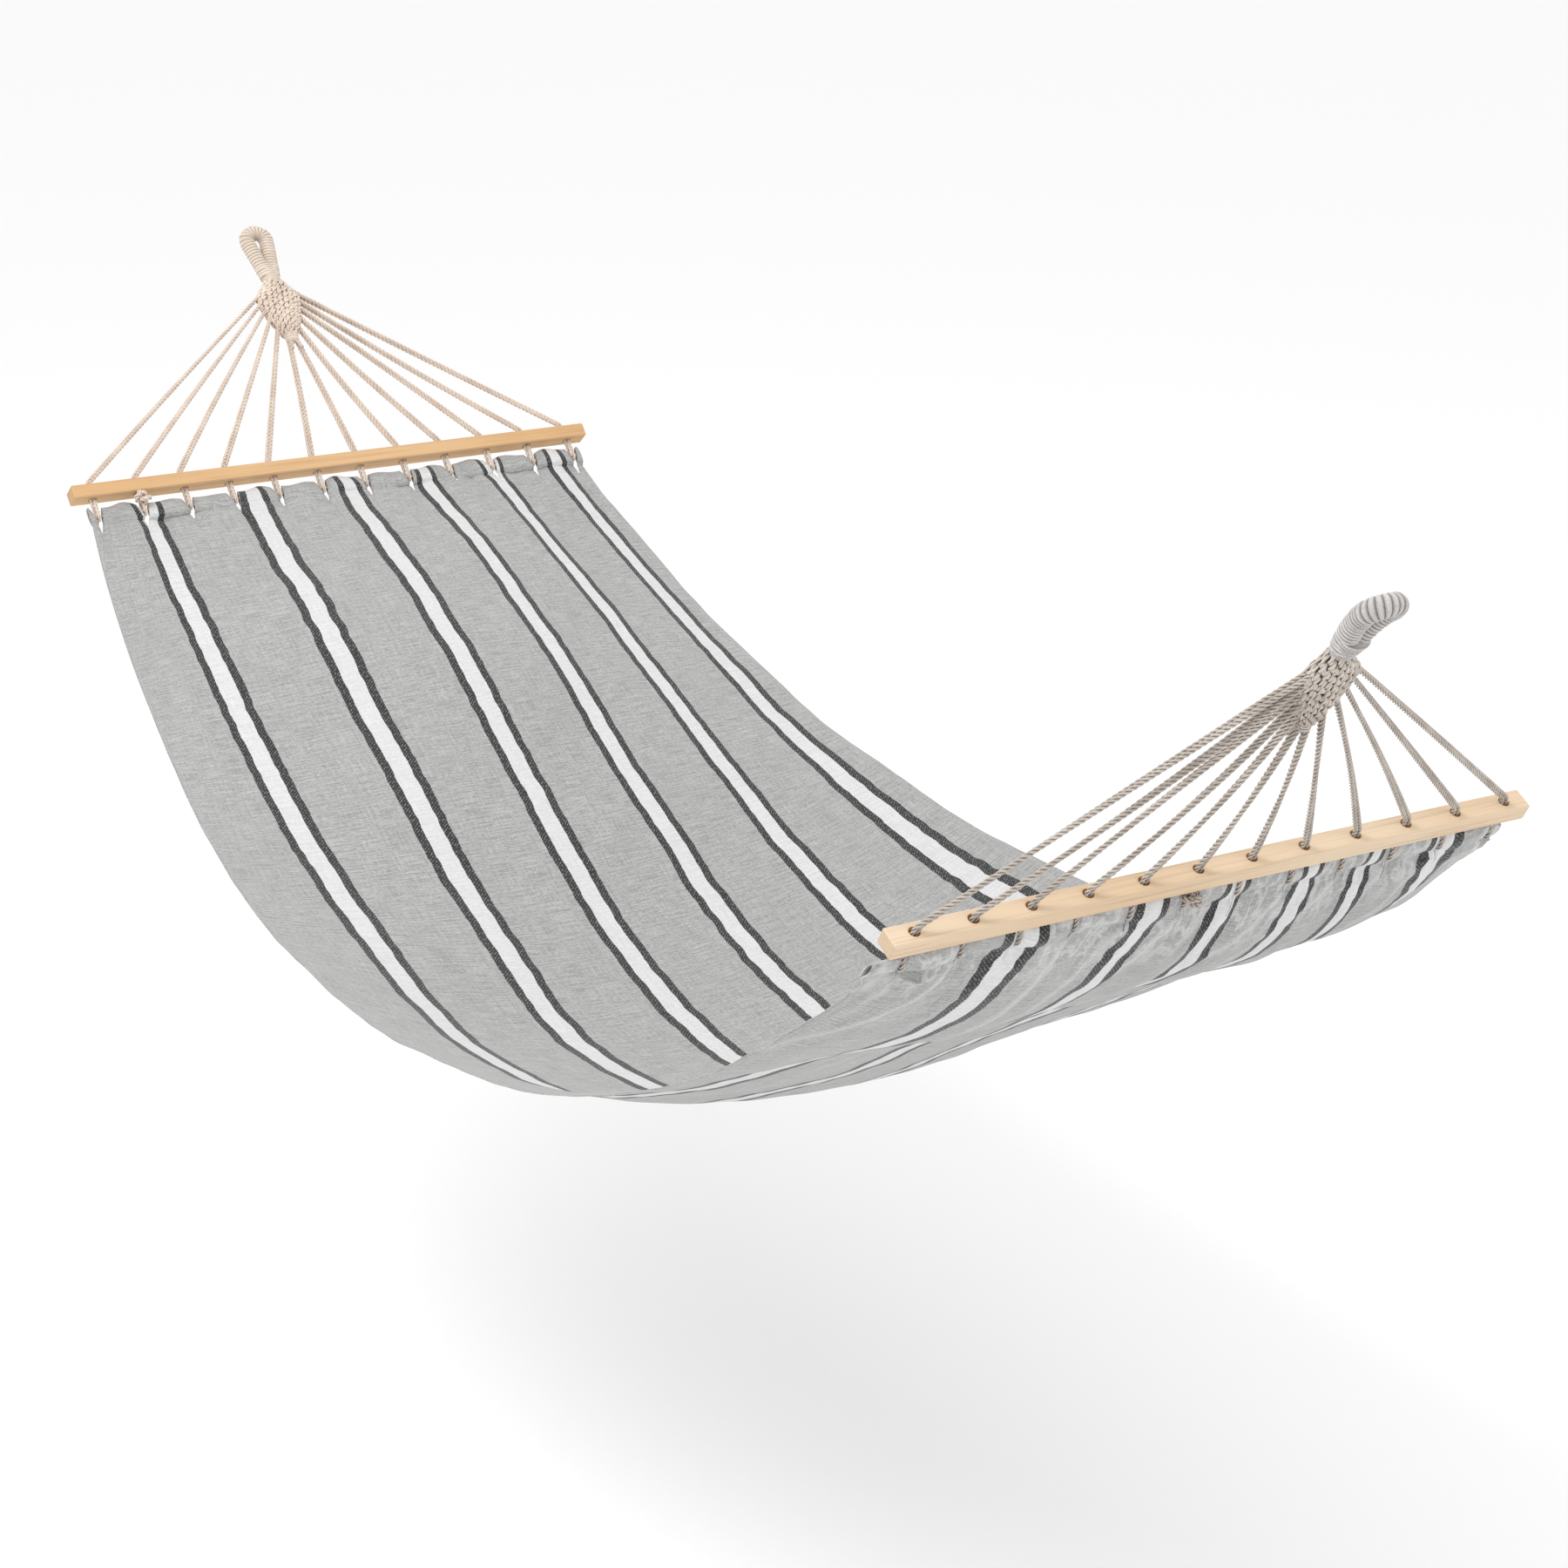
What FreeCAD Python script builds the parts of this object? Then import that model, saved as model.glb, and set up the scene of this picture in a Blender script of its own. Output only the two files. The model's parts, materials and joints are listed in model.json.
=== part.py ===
import FreeCAD, Part
import math
import os

# Rope hammock with two spreader bars, hung from the rope eye at each end.
# It is drawn about the point midway between the bars, with X along the hammock, Y across it
# and Z up, and moved at the end so that the origin is the hook point of the head eye.
V = FreeCAD.Vector

# ---- driving dimensions, in millimetres and degrees ----
BAR_SPACING = 1962.0        # between the centre lines of the two spreader bars
BAR_LENGTH = 800.0
BAR_WIDTH = 25.0            # of the faces that the rope holes open in
BAR_DEPTH = 20.0            # along the rope holes
BAR_CHAMFER = 1.5
ROPES = 12                  # doubled ropes at each end
HOLE_PITCH = 67.5
HOLE_DIAMETER = 12.0
STRAND = 5.0                # diameter of the rope
STRAND_SPACING = 5.4        # between the two strands of a doubled rope
ROPE_BEND = 5.4             # radius of the rope's centre line where it turns
NECK_DISTANCE = 306.0       # from a bar's centre line to the neck below the eye
EYE_LENGTH = 90.0           # from the neck to the outside of the eye's crown
EYE_TUBE = 20.0             # diameter of the eye over its whipping
EYE_CORE = 13.6             # diameter of the rope bundle inside the whipping
EYE_BEND = 15.0             # radius of the eye's centre line at the crown
EYE_LEG_OFFSET = 4.0        # of each leg from the middle, at the neck
WHIPPING_PLAY = 0.2
SEIZING_RADIUS = 12.5       # of the ball of tight turns at the neck, where the rope flexes
SEIZING_GAP = 0.4
OPEN_PIVOT_GAP = 3.0        # more room at the foot neck, where the swinging loop is opened
CORD_DISTANCE = 36.0        # from a bar's centre line to the hem cord
CORD_DIAMETER = 5.0
CORD_LENGTH = 766.0
CORD_CLEARANCE = 0.5        # between the hem cord and the rope that loops round it
HEM_LENGTH = 768.0
HEM_DEPTH = 20.0            # of the sewn channel that holds the cord
HEM_THICKNESS = 8.0
HEM_BORE = 5.6
NOTCH_MOUTH = 14.0          # width of the gap in the hem at each rope
NOTCH_END = 2.0
NOTCH_DEPTH = 44.0
KNOT_RADIUS = 7.5
KNOT_DISTANCE = 21.0        # from a bar's centre line to its end knot
FABRIC_THICKNESS = 2.0
FABRIC_START = 42.0         # from a bar's centre line to where the cloth leaves the hem
HALF_WIDTH = 384.0          # of the cloth at its hems

# Each end: which way it points, how far its rope fan and its eye lean above the horizontal, and
# which rope carries its end knot, how far off the middle of the fan.
ENDS = {
    "head": {"side": -1, "fan": 48.8, "eye": 46.0, "knot_rope": 2, "knot_off": 10.5},
    "foot": {"side": 1, "fan": 60.0, "eye": 41.0, "knot_rope": 6, "knot_off": -10.5},
}

# The cloth hangs along its middle line, two quarter lines and two edges. With u running from -1 at
# the head hem to 1 at the foot hem, each line drops below the straight line between the hems by
# drop * (1 - u ** 2) * (1 + lean * u + full * u ** 2 + late * u ** 3), and by a lip at each end,
# where the empty cloth hangs down steeply from its hem.
LINES = {
    "middle": {"drop": 460.0, "lean": 0.496, "full": -0.823, "late": -0.470, "head": 19.0, "foot": 87.0},
    "quarter": {"drop": 432.0, "lean": 0.361, "full": -0.601, "late": -0.356, "head": 5.5, "foot": 74.0},
    "edge": {"drop": 336.0, "lean": 0.088, "full": 0.253, "late": 0.204, "head": 11.5, "foot": -9.5},
}
LIP_REACH = 0.12            # how far in from its hem a lip is deepest, as a step of u
# Each edge also stands out past its end by SPREAD * (1 - u ** 2) * (1 + SPREAD_LEAN * u).
SPREAD = 112.0
SPREAD_LEAN = 0.24
CLOTH_STATIONS = 41         # sections of the cloth along its length
CLOTH_ACROSS = 9            # points on each section

# The woven clew: distance below the neck, half width and half thickness of its sections.
CLEW_SECTIONS = [(12.0, 17.0, 11.5), (27.0, 35.0, 12.5), (45.0, 34.0, 12.5),
                 (72.0, 24.0, 11.5), (95.0, 12.0, 9.0)]
# Where each doubled rope leaves the clew, from the outermost to the middle one: distance below
# the neck and distance from the middle line.
CLEW_EXITS = [(33.0, 31.0), (43.0, 29.0), (54.0, 26.0), (66.0, 22.0), (78.0, 15.0), (89.0, 6.0)]


def axes(end, angle_name):
    """Outward direction of an end's fan or eye, and the normal to it, as unit vectors."""
    angle = math.radians(ENDS[end][angle_name])
    side = ENDS[end]["side"]
    outward = V(side * math.cos(angle), 0, math.sin(angle))
    normal = V(-side * math.sin(angle), 0, math.cos(angle))
    return outward, normal


def bar_point(end, along, across=0.0, off=0.0):
    """Point in an end's fan plane, measured from the middle of its spreader bar."""
    outward, normal = axes(end, "fan")
    centre = V(ENDS[end]["side"] * BAR_SPACING / 2, 0, 0)
    return centre + outward * along + V(0, across, 0) + normal * off


def eye_point(end, along, across=0.0, off=0.0):
    """Point in the plane of an end's eye, measured from the neck."""
    outward, normal = axes(end, "eye")
    return bar_point(end, NECK_DISTANCE) + outward * along + V(0, across, 0) + normal * off


def hole_across(number):
    return (number - (ROPES + 1) / 2) * HOLE_PITCH


def tube(path, start, direction, diameter):
    """Solid of one diameter along a path that starts at a point in a direction."""
    section = Part.Wire([Part.makeCircle(diameter / 2, start, direction)])
    return path.makePipeShell([section], True, False)


def bent_tube(points, diameter, bend):
    """Solid of straight cylinders joined by tangent bends of one radius."""
    ring = Part.makeCircle(diameter / 2, points[0], points[1] - points[0])
    faces = [Part.Face(Part.Wire([ring]))]
    start = points[0]
    for before, corner, after in zip(points, points[1:], points[2:]):
        into = (corner - before).normalize()
        away = (after - corner).normalize()
        turn = into.getAngle(away)
        setback = bend * math.tan(turn / 2)
        first = corner - into * setback
        faces.append(ring.extrude(first - start))
        ring.translate(first - start)
        axis = into.cross(away).normalize()
        centre = first + axis.cross(into) * bend
        faces.append(ring.revolve(centre, axis, math.degrees(turn)))
        ring.rotate(centre, axis, math.degrees(turn))
        start = corner + away * setback
    faces.append(ring.extrude(points[-1] - start))
    ring.translate(points[-1] - start)
    faces.append(Part.Face(Part.Wire([ring])))
    shell = Part.Shell(faces)
    shell.sewShape()
    return Part.Solid(shell)


def prism(outline, direction):
    return Part.Face(Part.makePolygon(outline + [outline[0]])).extrude(direction)


# ---- wood ----
def spreader_bar(end):
    outward, normal = axes(end, "fan")
    corner = bar_point(end, -BAR_DEPTH / 2, -BAR_LENGTH / 2, -BAR_WIDTH / 2)
    side = [corner, corner + outward * BAR_DEPTH,
            corner + outward * BAR_DEPTH + normal * BAR_WIDTH, corner + normal * BAR_WIDTH]
    bar = prism(side, V(0, BAR_LENGTH, 0))
    bar = bar.makeChamfer(BAR_CHAMFER, bar.Edges)
    for number in range(1, ROPES + 1):
        mouth = bar_point(end, -BAR_DEPTH, hole_across(number))
        bar = bar.cut(Part.makeCylinder(HOLE_DIAMETER / 2, 2 * BAR_DEPTH, mouth, outward))
    return bar


# ---- eyes and necks ----
def eye_half(end, diameter, hand):
    """Half of the teardrop loop, from the neck up one leg to the middle of the crown."""
    crown = EYE_LENGTH - EYE_TUBE / 2 - EYE_BEND
    reach = math.hypot(crown, EYE_LEG_OFFSET)
    spread = math.asin(EYE_BEND / reach) - math.atan2(EYE_LEG_OFFSET, crown)
    leg = math.sqrt(reach ** 2 - EYE_BEND ** 2)
    half_turn = math.radians(45) - spread / 2

    def on_bend(angle):
        return eye_point(end, crown + EYE_BEND * math.sin(angle), hand * EYE_BEND * math.cos(angle))

    foot = eye_point(end, 0, hand * EYE_LEG_OFFSET)
    tangent = eye_point(end, leg * math.cos(spread), hand * (EYE_LEG_OFFSET + leg * math.sin(spread)))
    path = Part.Wire([
        Part.LineSegment(foot, tangent).toShape(),
        Part.Arc(tangent, on_bend(math.radians(90) - half_turn), on_bend(math.radians(90))).toShape(),
    ])
    return tube(path, foot, tangent - foot, diameter)


def eye_loop(end, diameter):
    return eye_half(end, diameter, 1).fuse(eye_half(end, diameter, -1)).removeSplitter()


def neck_ball(end, radius):
    return Part.makeSphere(radius, eye_point(end, 0))


def eye_core(end):
    return eye_loop(end, EYE_CORE).cut(neck_ball(end, SEIZING_RADIUS + SEIZING_GAP))


def eye_whipping(end):
    sleeve = eye_loop(end, EYE_TUBE).cut(eye_loop(end, EYE_CORE + WHIPPING_PLAY))
    return sleeve.cut(neck_ball(end, SEIZING_RADIUS + SEIZING_GAP))


def clew(end):
    """Flat woven body of elliptical sections, hollowed at the top for the ball of the neck."""
    outward, normal = axes(end, "fan")
    sections = []
    for below, half_width, half_thickness in CLEW_SECTIONS:
        centre = bar_point(end, NECK_DISTANCE - below)
        widest = centre + V(0, half_width, 0)
        thickest = centre + normal * half_thickness
        sections.append(Part.Wire([Part.Ellipse(widest, thickest, centre).toShape()]))
    gap = SEIZING_GAP + (OPEN_PIVOT_GAP if end == "foot" else 0.0)
    return Part.makeLoft(sections, True, False).cut(neck_ball(end, SEIZING_RADIUS + gap))


# ---- ropes ----
def doubled_rope(end, number, clew_body):
    """The two strands of one rope, from the clew through its hole and round the hem cord.

    They lie one above the other at the clew and at the cord, and side by side in the bar, and meet
    at the middle of the loop round the cord.
    """
    across = hole_across(number)
    below, out = CLEW_EXITS[min(number, ROPES + 1 - number) - 1]
    hand = 1 if across > 0 else -1
    loop = (CORD_DIAMETER + STRAND) / 2 + CORD_CLEARANCE
    strands = []
    for face in (1, -1):
        spacing = face * STRAND_SPACING / 2
        points = [bar_point(end, NECK_DISTANCE - below, hand * out, spacing),
                  bar_point(end, BAR_DEPTH / 2 + STRAND, across + spacing),
                  bar_point(end, -BAR_DEPTH / 2 - STRAND / 2, across + spacing),
                  bar_point(end, -CORD_DISTANCE, across, face * loop),
                  bar_point(end, -CORD_DISTANCE - loop, across, face * loop),
                  bar_point(end, -CORD_DISTANCE - loop, across)]
        strands.append(bent_tube(points, STRAND, ROPE_BEND).cut(clew_body))
    return Part.Compound(strands)


def end_knot(end, rope):
    """Stopper knot against the side of one rope, between its bar and the hem."""
    across = hole_across(ENDS[end]["knot_rope"])
    centre = bar_point(end, -KNOT_DISTANCE, across, ENDS[end]["knot_off"])
    return Part.makeSphere(KNOT_RADIUS, centre).cut(rope)


# ---- cloth ----
def lip(from_end):
    """Rises from 0 at a hem to 1 at the lip's reach, and dies away beyond it."""
    share = from_end / LIP_REACH
    return share * math.exp(1 - share)


def line_drop(line, u):
    shape = LINES[line]
    sag = shape["drop"] * (1 - u ** 2) * (
        1 + shape["lean"] * u + shape["full"] * u ** 2 + shape["late"] * u ** 3)
    return sag + shape["head"] * lip(1 + u) + shape["foot"] * lip(1 - u)


def cloth_point(u, v, lift):
    """Point of the cloth: u from -1 to 1 along, v from -1 to 1 across, lift off its middle."""
    head = bar_point("head", -FABRIC_START)
    foot = bar_point("foot", -FABRIC_START)
    base = head + (foot - head) * ((u + 1) / 2)
    across = v * (HALF_WIDTH + SPREAD * (1 - u ** 2) * (1 + SPREAD_LEAN * u))
    middle = line_drop("middle", u)
    quarter = line_drop("quarter", u) - middle
    edge = line_drop("edge", u) - middle
    # the even quartic across the cloth that meets all five lines
    square = (16 * quarter - edge) / 3
    fourth = (4 * edge - 16 * quarter) / 3
    drop = middle + square * v ** 2 + fourth * v ** 4
    return base + V(0, across, lift - drop)


def cloth_surface(lift):
    rows = []
    for i in range(CLOTH_STATIONS):
        u = -1 + 2 * i / (CLOTH_STATIONS - 1)
        rows.append([cloth_point(u, -1 + 2 * j / (CLOTH_ACROSS - 1), lift)
                     for j in range(CLOTH_ACROSS)])
    surface = Part.BSplineSurface()
    surface.interpolate(rows)
    return surface.toShape()


def cloth():
    upper = cloth_surface(FABRIC_THICKNESS / 2)
    lower = cloth_surface(-FABRIC_THICKNESS / 2)
    walls = [Part.makeRuledSurface(low, high) for low, high in zip(lower.Edges, upper.Edges)]
    shell = Part.Shell([upper, lower] + walls)
    shell.sewShape()
    return Part.Solid(shell)


def notches(end):
    """Wedges cut out of the hem and cloth where the ropes pass."""
    outward, normal = axes(end, "fan")
    mouth = -CORD_DISTANCE + HEM_DEPTH
    inner = mouth - NOTCH_DEPTH
    wedges = []
    for number in range(1, ROPES + 1):
        across = hole_across(number)
        outline = [bar_point(end, mouth, across - NOTCH_MOUTH / 2, -2 * HEM_DEPTH),
                   bar_point(end, mouth, across + NOTCH_MOUTH / 2, -2 * HEM_DEPTH),
                   bar_point(end, inner, across + NOTCH_END / 2, -2 * HEM_DEPTH),
                   bar_point(end, inner, across - NOTCH_END / 2, -2 * HEM_DEPTH)]
        wedges.append(prism(outline, normal * (4 * HEM_DEPTH)))
    return wedges


def hem(end):
    """Sewn channel: a flattened tube round the hem cord, open at each notch."""
    outward, normal = axes(end, "fan")
    straight = (HEM_DEPTH - HEM_THICKNESS) / 2
    half = HEM_THICKNESS / 2
    middle = -CORD_DISTANCE

    def at(along, off):
        return bar_point(end, middle + along, -HEM_LENGTH / 2, off)

    outline = Part.Wire([
        Part.LineSegment(at(-straight, half), at(straight, half)).toShape(),
        Part.Arc(at(straight, half), at(straight + half, 0), at(straight, -half)).toShape(),
        Part.LineSegment(at(straight, -half), at(-straight, -half)).toShape(),
        Part.Arc(at(-straight, -half), at(-straight - half, 0), at(-straight, half)).toShape(),
    ])
    body = Part.Face(outline).extrude(V(0, HEM_LENGTH, 0))
    bore = Part.makeCylinder(HEM_BORE / 2, HEM_LENGTH, at(0, 0), V(0, 1, 0))
    return body.cut([bore] + notches(end))


def hem_cord(end):
    start = bar_point(end, -CORD_DISTANCE, -CORD_LENGTH / 2)
    return Part.makeCylinder(CORD_DIAMETER / 2, CORD_LENGTH, start, V(0, 1, 0))


# ---- all the pieces, and their files ----
def pieces():
    shapes = {"fabric": cloth().cut(notches("head") + notches("foot"))}
    for end in ENDS:
        clew_body = clew(end)
        shapes[end + "_bar"] = spreader_bar(end)
        shapes[end + "_eye_core"] = eye_core(end)
        shapes[end + "_eye_whipping"] = eye_whipping(end)
        shapes[end + "_neck_seizing"] = neck_ball(end, SEIZING_RADIUS)
        shapes[end + "_clew"] = clew_body
        shapes[end + "_hem"] = hem(end)
        shapes[end + "_hem_cord"] = hem_cord(end)
        for number in range(1, ROPES + 1):
            shapes["%s_rope_%02d" % (end, number)] = doubled_rope(end, number, clew_body)
        knotted = "%s_rope_%02d" % (end, ENDS[end]["knot_rope"])
        shapes[end + "_knot"] = end_knot(end, shapes[knotted])
    return shapes


hook_point = eye_point("head", EYE_LENGTH - EYE_TUBE)
os.makedirs("parts", exist_ok=True)
for node, shape in pieces().items():
    shape.translate(hook_point * -1)
    shape.exportStep(os.path.join("parts", node + ".step"))
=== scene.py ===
import json
import math

import bmesh
import bpy
import numpy as np
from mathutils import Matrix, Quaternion, Vector


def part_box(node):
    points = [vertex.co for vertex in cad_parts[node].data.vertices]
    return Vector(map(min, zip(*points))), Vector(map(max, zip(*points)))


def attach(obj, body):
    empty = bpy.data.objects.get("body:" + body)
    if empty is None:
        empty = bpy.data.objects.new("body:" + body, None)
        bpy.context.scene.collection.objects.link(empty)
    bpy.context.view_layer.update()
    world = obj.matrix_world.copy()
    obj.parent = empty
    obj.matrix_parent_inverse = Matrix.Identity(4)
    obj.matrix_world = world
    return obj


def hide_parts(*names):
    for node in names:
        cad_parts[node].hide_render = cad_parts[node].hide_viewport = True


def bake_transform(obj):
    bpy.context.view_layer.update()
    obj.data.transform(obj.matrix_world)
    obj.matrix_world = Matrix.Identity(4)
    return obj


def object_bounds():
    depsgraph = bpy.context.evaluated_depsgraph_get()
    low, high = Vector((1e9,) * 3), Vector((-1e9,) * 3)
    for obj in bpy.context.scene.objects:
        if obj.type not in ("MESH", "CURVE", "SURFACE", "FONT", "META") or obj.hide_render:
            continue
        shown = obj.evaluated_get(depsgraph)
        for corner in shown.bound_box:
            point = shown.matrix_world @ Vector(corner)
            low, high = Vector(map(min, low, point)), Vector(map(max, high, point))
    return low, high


# Looks of the rope hammock. The wooden bars are the CAD's own. Every soft node is replaced by a
# detailed piece in the same place: laid ropes, whipped eyes, woven clews, knots and the cloth.
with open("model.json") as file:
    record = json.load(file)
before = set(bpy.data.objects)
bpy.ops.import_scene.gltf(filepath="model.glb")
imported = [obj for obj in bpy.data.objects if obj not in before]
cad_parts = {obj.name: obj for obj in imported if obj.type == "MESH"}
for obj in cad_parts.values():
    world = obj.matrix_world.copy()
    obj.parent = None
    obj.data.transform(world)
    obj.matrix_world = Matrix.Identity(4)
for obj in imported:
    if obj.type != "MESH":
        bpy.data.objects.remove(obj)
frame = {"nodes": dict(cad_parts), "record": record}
cad_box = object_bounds()
record = frame["record"]
rng = np.random.default_rng(11)         # draws for the ropes, in the order they are made

# ---- the hammock's driving dimensions, in metres, the same as the CAD's ----
SIDE = {"head": -1.0, "foot": 1.0}
ACROSS = np.array([0.0, 1.0, 0.0])
ROPES = 12
HOLE_PITCH = 0.0675
BAR_DEPTH = 0.020
BAR_WIDTH = 0.025
BAR_LENGTH = 0.800
HOLE_RADIUS = 0.006
STRAND = 0.005
STRAND_SPACING = 0.0054
CORD_DISTANCE = 0.036
CORD_LENGTH = 0.766
CORD_RADIUS = 0.0025
CORD_LOOP = 0.0055          # from the cord's middle line to that of the rope that loops round it
FABRIC_START = 0.042
HALF_HEM = 0.384
SPREAD = 0.112
SPREAD_LEAN = 0.24
CLOTH_LINES = {             # drop, lean, full, late, and the lips at the head and the foot
    "middle": (0.460, 0.496, -0.823, -0.470, 0.0190, 0.0870),
    "quarter": (0.432, 0.361, -0.601, -0.356, 0.0055, 0.0740),
    "edge": (0.336, 0.088, 0.253, 0.204, 0.0115, -0.0095),
}
LIP_REACH = 0.12
EYE_LENGTH = 0.090
EYE_RADIUS = 0.010
EYE_BEND = 0.015
EYE_LEG_OFFSET = 0.004
CLEW_SECTIONS = np.array([(4.0, 12.0, 10.5), (12.0, 18.0, 11.5), (27.0, 33.0, 12.0),
                          (45.0, 32.0, 12.0), (72.0, 23.0, 11.0), (97.0, 10.5, 8.0)]) / 1000
CLEW_EXITS = [(33.0, 31.0), (43.0, 29.0), (54.0, 26.0), (66.0, 22.0), (78.0, 15.0), (89.0, 6.0)]
KNOTS = {"head": (2, 0.0105), "foot": (6, -0.0105)}
KNOT_DISTANCE = 0.021

# the cloth, flat
FLAT_WIDTH = 1.010
STRIPES = 6
STRIPE_PITCH = 0.1615
STRIPE_SHIFT = 0.0420       # of the middle of the stripe pattern from the middle of the cloth
WHITE_HALF = 0.0125
BORDER = 0.0120
PALE_CREASES_FROM = 0.985           # along the flat cloth from its middle, where the pale creases begin: partly frayed fibres, partly a painted highlight on their ridges
PALE_CREASES_OVER = 0.075           # length over which they come in
RIB_PITCH = 0.0017          # of the weave, both ways
TWILL_PITCH = 0.0046        # of the slanting rows in a border
EDGE_BLUR = 0.0004          # of the edges between bands


# ---- places worked out from the frame ----
def middle_of(node):
    low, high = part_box(node)
    return (np.array(low) + np.array(high)) / 2


def unit(vector):
    return vector / np.linalg.norm(vector)


BAR = {end: middle_of(end + "_bar") for end in SIDE}
NECK = {end: middle_of(end + "_neck_seizing") for end in SIDE}
FAN = {end: unit(NECK[end] - BAR[end]) for end in SIDE}
EYE = {m["name"].split("_")[0]: unit(np.array(m["axis"], float)) for m in record["mounts"]}
NECK_DISTANCE = float(np.linalg.norm(NECK["head"] - BAR["head"]))


def normal_to(end, outward):
    """The direction square to an end's outward one, on the side that faces up and inward."""
    return SIDE[end] * np.array([-outward[2], 0.0, outward[0]])


def fan_point(end, along, across=0.0, off=0.0):
    """Point in an end's fan plane, measured from the middle of its bar."""
    return BAR[end] + FAN[end] * along + ACROSS * across + normal_to(end, FAN[end]) * off


def eye_point(end, along, across=0.0, off=0.0):
    """Point in the plane of an end's eye, measured from its neck."""
    return NECK[end] + EYE[end] * along + ACROSS * across + normal_to(end, EYE[end]) * off


def hole_across(number):
    return (number - (ROPES + 1) / 2) * HOLE_PITCH


# ---- meshes ----
CORNER_CUTS = 4             # rounds of cutting the corners off a line


def grid_faces(rows, columns, around):
    """Quads over a grid of points, and for each corner its row and column as steps."""
    i, j = np.meshgrid(np.arange(rows - 1), np.arange(columns if around else columns - 1),
                       indexing="ij")
    i, j = i.ravel(), j.ravel()
    row = np.stack([i, i, i + 1, i + 1], 1)
    column = np.stack([j, j + 1, j + 1, j], 1)
    return row * columns + column % columns, np.stack([row, column], 2)


def smoothed(points):
    """Line between a few points with its corners cut off smoothly."""
    points = np.array(points, float)
    for _ in range(CORNER_CUTS):
        low = points[:-1] * 0.75 + points[1:] * 0.25
        high = points[:-1] * 0.25 + points[1:] * 0.75
        inner = np.stack([low, high], 1).reshape(-1, 3)
        points = np.vstack([points[:1], inner, points[-1:]])
    return points


def run_of(path):
    """Distance along a line to each of its points."""
    return np.concatenate([[0.0], np.cumsum(np.linalg.norm(np.diff(path, axis=0), axis=1))])


def evenly(points, step):
    """The same line as points one step apart."""
    points = np.array(points, float)
    run = run_of(points)
    count = max(3, int(round(run[-1] / step)) + 1)
    wanted = np.linspace(0, run[-1], count)
    return np.stack([np.interp(wanted, run, points[:, k]) for k in range(3)], 1)


def across_frames(path, up):
    """Two directions square to the path at each point, which don't twist about it."""
    tangent = np.gradient(path, axis=0)
    tangent /= np.linalg.norm(tangent, axis=1)[:, None]
    side = np.zeros_like(path)
    last = np.array(up, float)
    for k, direction in enumerate(tangent):
        last = last - direction * (last @ direction)
        last = last / np.linalg.norm(last)
        side[k] = last
    return side, np.cross(tangent, side)


def end_caps(rows, columns):
    """The two end faces of a skin whose rows are closed rings."""
    return [list(range(columns))[::-1], list(range((rows - 1) * columns, rows * columns))]


def sweep(path, section, up):
    """Closed skin along a path. The section gives, for each point of the path, its outline."""
    side, other = across_frames(path, up)
    rings = path[:, None] + section[..., :1] * side[:, None] + section[..., 1:] * other[:, None]
    rows, columns = section.shape[:2]
    quads, steps = grid_faces(rows, columns, True)
    uv = np.stack([run_of(path)[steps[..., 0]], steps[..., 1] / columns], 2)
    return {"points": rings.reshape(-1, 3), "quads": quads, "uv": uv, "caps": end_caps(rows, columns)}


def piece(name, parts, material):
    """One mesh object from several skins. Each may say how deep its points lie in grooves, which
    paints shade there; the cloth's say instead where a painted highlight lies on the ridges of its
    pull lines.
    """
    points, faces, uv, deep, start = [], [], [], [], 0
    for part in parts:
        points.append(part["points"])
        deep.append(part.get("deep", np.zeros(len(part["points"]))))
        faces += (part["quads"] + start).tolist()
        uv.append(part["uv"].reshape(-1, 2))
        for cap in part.get("caps", []):
            faces.append([k + start for k in cap])
            uv.append(np.zeros((len(cap), 2)))
        start += len(part["points"])
    mesh = bpy.data.meshes.new(name)
    mesh.from_pydata(np.concatenate(points).tolist(), [], faces)
    layer = mesh.uv_layers.new(name="lay")
    layer.data.foreach_set("uv", np.concatenate(uv).astype(np.float32).ravel())
    mesh.materials.append(material)
    mesh.validate()
    work = bmesh.new()
    work.from_mesh(mesh)
    bmesh.ops.recalc_face_normals(work, faces=work.faces)
    work.to_mesh(mesh)
    work.free()
    mesh.polygons.foreach_set("use_smooth", [True] * len(mesh.polygons))
    shade = mesh.attributes.new("deep", "FLOAT", "POINT")
    shade.data.foreach_set("value", np.concatenate(deep).astype(np.float32))
    made = bpy.data.objects.new(name, mesh)
    bpy.context.scene.collection.objects.link(made)
    return made


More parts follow.
